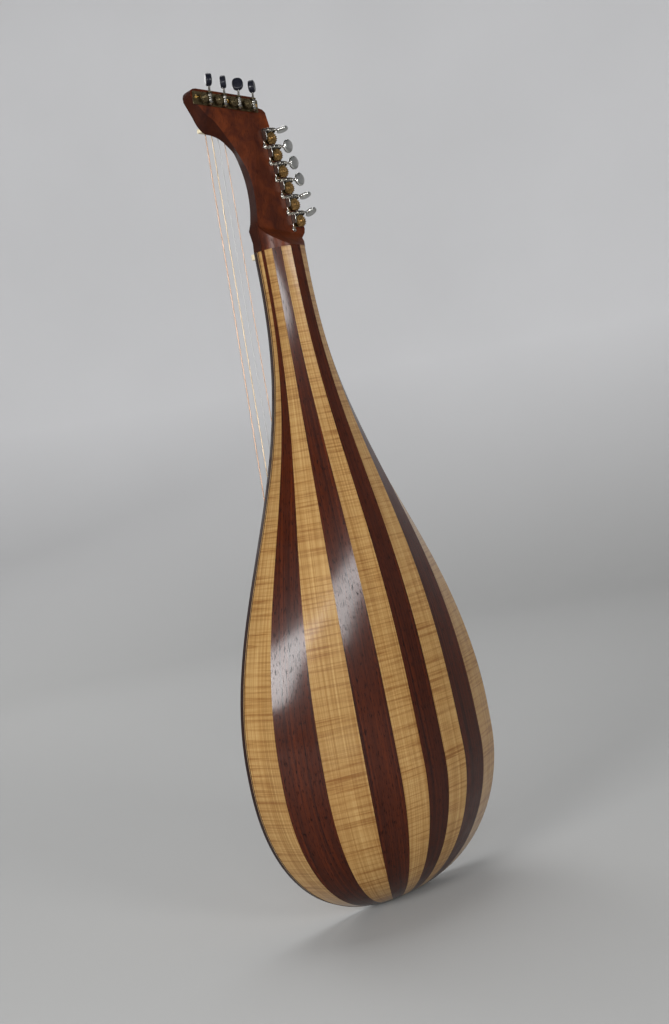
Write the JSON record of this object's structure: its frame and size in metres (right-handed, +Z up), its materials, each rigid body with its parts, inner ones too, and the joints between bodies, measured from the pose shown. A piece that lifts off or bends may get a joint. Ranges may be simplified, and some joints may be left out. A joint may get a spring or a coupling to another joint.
{
  "type": "bass lute",
  "caption": "Bass lute with a round back of alternating light and dark ribs, a carved head with a side arm, geared tuners and free bass strings.",
  "frame": {"origin": "middle of the tail edge, on the front face of the soundboard", "axes": "+Z up the neck, -Y the way the soundboard faces, +X to the side that the bass arm leans"},
  "size_m": [0.352, 0.1296, 0.9843],
  "materials": {
    "light_ribs": "flamed light wood under clear gloss varnish",
    "dark_ribs": "dark red-brown open-pored wood under clear gloss varnish",
    "rim": "dark wood binding with a fine light line, gloss",
    "soundboard": "fine straight-grained softwood, satin varnish",
    "rosette": "pierced thin wood, satin",
    "inside_wood": "bare planed wood",
    "fingerboard": "very dark close-grained wood, oiled",
    "fret_metal": "polished fret wire",
    "bridge": "dark wood, gloss",
    "bone": "polished cream bone",
    "headstock": "red-brown wood under clear gloss varnish",
    "chrome": "bright nickel plating with light handling wear",
    "button_metal": "bright plated metal",
    "gear_brass": "turned brass, slightly tarnished",
    "gear_bronze": "dark bronze finish",
    "bronze_plate": "dark aged bronze plate",
    "button_black": "polished black plastic",
    "main_strings": "plain and wound strings, silver",
    "bass_strings": "copper and bronze wound strings"
  },
  "bodies": {
    "lute": {"rib_1": "light_ribs", "rib_2": "dark_ribs", "rib_3": "light_ribs", "rib_4": "dark_ribs", "rib_5": "light_ribs", "rib_6": "dark_ribs", "rib_7": "light_ribs", "rib_8": "dark_ribs", "rib_9": "light_ribs", "rib_10": "dark_ribs", "rib_11": "light_ribs", "rim_binding": "rim", "soundboard": "soundboard", "rosette": "rosette", "soundboard_braces": "inside_wood", "neck_core": "inside_wood", "tail_block": "inside_wood", "fingerboard": "fingerboard", "frets": "fret_metal", "bridge": "bridge", "saddle": "bone", "main_nut": "bone", "bass_nut": "bone", "headstock": "headstock", "main_tuner_plates": "chrome", "bass_tuner_plate": "bronze_plate", "plate_screws": "chrome", "post_ferrules": "chrome", "main_strings": "main_strings", "bass_strings": "bass_strings"},
    "main_knob_1": {"main_worm_1": "chrome", "main_button_1": "button_metal"},
    "main_gear_post_1": {"main_post_1": "gear_brass"},
    "main_knob_2": {"main_worm_2": "chrome", "main_button_2": "button_metal"},
    "main_gear_post_2": {"main_post_2": "gear_brass"},
    "main_knob_3": {"main_worm_3": "chrome", "main_button_3": "button_metal"},
    "main_gear_post_3": {"main_post_3": "gear_brass"},
    "main_knob_4": {"main_worm_4": "chrome", "main_button_4": "button_metal"},
    "main_gear_post_4": {"main_post_4": "gear_brass"},
    "main_knob_5": {"main_worm_5": "chrome", "main_button_5": "button_metal"},
    "main_gear_post_5": {"main_post_5": "gear_brass"},
    "main_knob_6": {"main_worm_6": "chrome", "main_button_6": "button_metal"},
    "main_gear_post_6": {"main_post_6": "gear_brass"},
    "bass_knob_1": {"bass_worm_1": "chrome", "bass_button_1": "button_black"},
    "bass_gear_post_1": {"bass_post_1": "gear_bronze"},
    "bass_knob_2": {"bass_worm_2": "chrome", "bass_button_2": "button_black"},
    "bass_gear_post_2": {"bass_post_2": "gear_bronze"},
    "bass_knob_3": {"bass_worm_3": "chrome", "bass_button_3": "button_black"},
    "bass_gear_post_3": {"bass_post_3": "gear_bronze"},
    "bass_knob_4": {"bass_worm_4": "chrome", "bass_button_4": "button_black"},
    "bass_gear_post_4": {"bass_post_4": "gear_bronze"}
  },
  "joints": [
    {"name": "main_knob_turn_1", "type": "hinge", "parent": "lute", "child": "main_knob_1", "pos_m": [-0.00981, 0.02, 0.92059], "axis": [-0.9986, 0, 0.0523], "continuous": true},
    {"name": "main_post_turn_1", "type": "hinge", "parent": "lute", "child": "main_gear_post_1", "pos_m": [-0.0103, 0.015, 0.9112], "axis": [0, 1, 0], "continuous": true},
    {"name": "main_knob_turn_2", "type": "hinge", "parent": "lute", "child": "main_knob_2", "pos_m": [-0.01401, 0.02, 0.90083], "axis": [-0.9986, 0, 0.0523], "continuous": true},
    {"name": "main_post_turn_2", "type": "hinge", "parent": "lute", "child": "main_gear_post_2", "pos_m": [-0.0145, 0.015, 0.89144], "axis": [0, 1, 0], "continuous": true},
    {"name": "main_knob_turn_3", "type": "hinge", "parent": "lute", "child": "main_knob_3", "pos_m": [-0.01821, 0.02, 0.88107], "axis": [-0.9986, 0, 0.0523], "continuous": true},
    {"name": "main_post_turn_3", "type": "hinge", "parent": "lute", "child": "main_gear_post_3", "pos_m": [-0.0187, 0.015, 0.87168], "axis": [0, 1, 0], "continuous": true},
    {"name": "main_knob_turn_4", "type": "hinge", "parent": "lute", "child": "main_knob_4", "pos_m": [-0.02241, 0.02, 0.86131], "axis": [-0.9986, 0, 0.0523], "continuous": true},
    {"name": "main_post_turn_4", "type": "hinge", "parent": "lute", "child": "main_gear_post_4", "pos_m": [-0.0229, 0.015, 0.85192], "axis": [0, 1, 0], "continuous": true},
    {"name": "main_knob_turn_5", "type": "hinge", "parent": "lute", "child": "main_knob_5", "pos_m": [-0.02661, 0.02, 0.84155], "axis": [-0.9986, 0, 0.0523], "continuous": true},
    {"name": "main_post_turn_5", "type": "hinge", "parent": "lute", "child": "main_gear_post_5", "pos_m": [-0.0271, 0.015, 0.83217], "axis": [0, 1, 0], "continuous": true},
    {"name": "main_knob_turn_6", "type": "hinge", "parent": "lute", "child": "main_knob_6", "pos_m": [-0.03081, 0.02, 0.82179], "axis": [-0.9986, 0, 0.0523], "continuous": true},
    {"name": "main_post_turn_6", "type": "hinge", "parent": "lute", "child": "main_gear_post_6", "pos_m": [-0.0313, 0.015, 0.81241], "axis": [0, 1, 0], "continuous": true},
    {"name": "bass_knob_turn_1", "type": "hinge", "parent": "lute", "child": "bass_knob_1", "pos_m": [0.00713, 0.02, 0.95027], "axis": [-0.0872, 0, 0.9962], "continuous": true},
    {"name": "bass_post_turn_1", "type": "hinge", "parent": "lute", "child": "bass_gear_post_1", "pos_m": [0.0155, 0.015, 0.951], "axis": [0, 1, 0], "continuous": true},
    {"name": "bass_knob_turn_2", "type": "hinge", "parent": "lute", "child": "bass_knob_2", "pos_m": [0.02745, 0.02, 0.95205], "axis": [-0.0872, 0, 0.9962], "continuous": true},
    {"name": "bass_post_turn_2", "type": "hinge", "parent": "lute", "child": "bass_gear_post_2", "pos_m": [0.03582, 0.015, 0.95278], "axis": [0, 1, 0], "continuous": true},
    {"name": "bass_knob_turn_3", "type": "hinge", "parent": "lute", "child": "bass_knob_3", "pos_m": [0.04778, 0.02, 0.95382], "axis": [-0.0872, 0, 0.9962], "continuous": true},
    {"name": "bass_post_turn_3", "type": "hinge", "parent": "lute", "child": "bass_gear_post_3", "pos_m": [0.05614, 0.015, 0.95456], "axis": [0, 1, 0], "continuous": true},
    {"name": "bass_knob_turn_4", "type": "hinge", "parent": "lute", "child": "bass_knob_4", "pos_m": [0.0681, 0.02, 0.9556], "axis": [-0.0872, 0, 0.9962], "continuous": true},
    {"name": "bass_post_turn_4", "type": "hinge", "parent": "lute", "child": "bass_gear_post_4", "pos_m": [0.07647, 0.015, 0.95633], "axis": [0, 1, 0], "continuous": true}
  ],
  "couplings": [
    {"joint": "main_post_turn_1", "follows": "main_knob_turn_1", "ratio": 0.0625},
    {"joint": "main_post_turn_2", "follows": "main_knob_turn_2", "ratio": 0.0625},
    {"joint": "main_post_turn_3", "follows": "main_knob_turn_3", "ratio": 0.0625},
    {"joint": "main_post_turn_4", "follows": "main_knob_turn_4", "ratio": 0.0625},
    {"joint": "main_post_turn_5", "follows": "main_knob_turn_5", "ratio": 0.0625},
    {"joint": "main_post_turn_6", "follows": "main_knob_turn_6", "ratio": 0.0625},
    {"joint": "bass_post_turn_1", "follows": "bass_knob_turn_1", "ratio": -0.076923},
    {"joint": "bass_post_turn_2", "follows": "bass_knob_turn_2", "ratio": -0.076923},
    {"joint": "bass_post_turn_3", "follows": "bass_knob_turn_3", "ratio": -0.076923},
    {"joint": "bass_post_turn_4", "follows": "bass_knob_turn_4", "ratio": -0.076923}
  ]
}
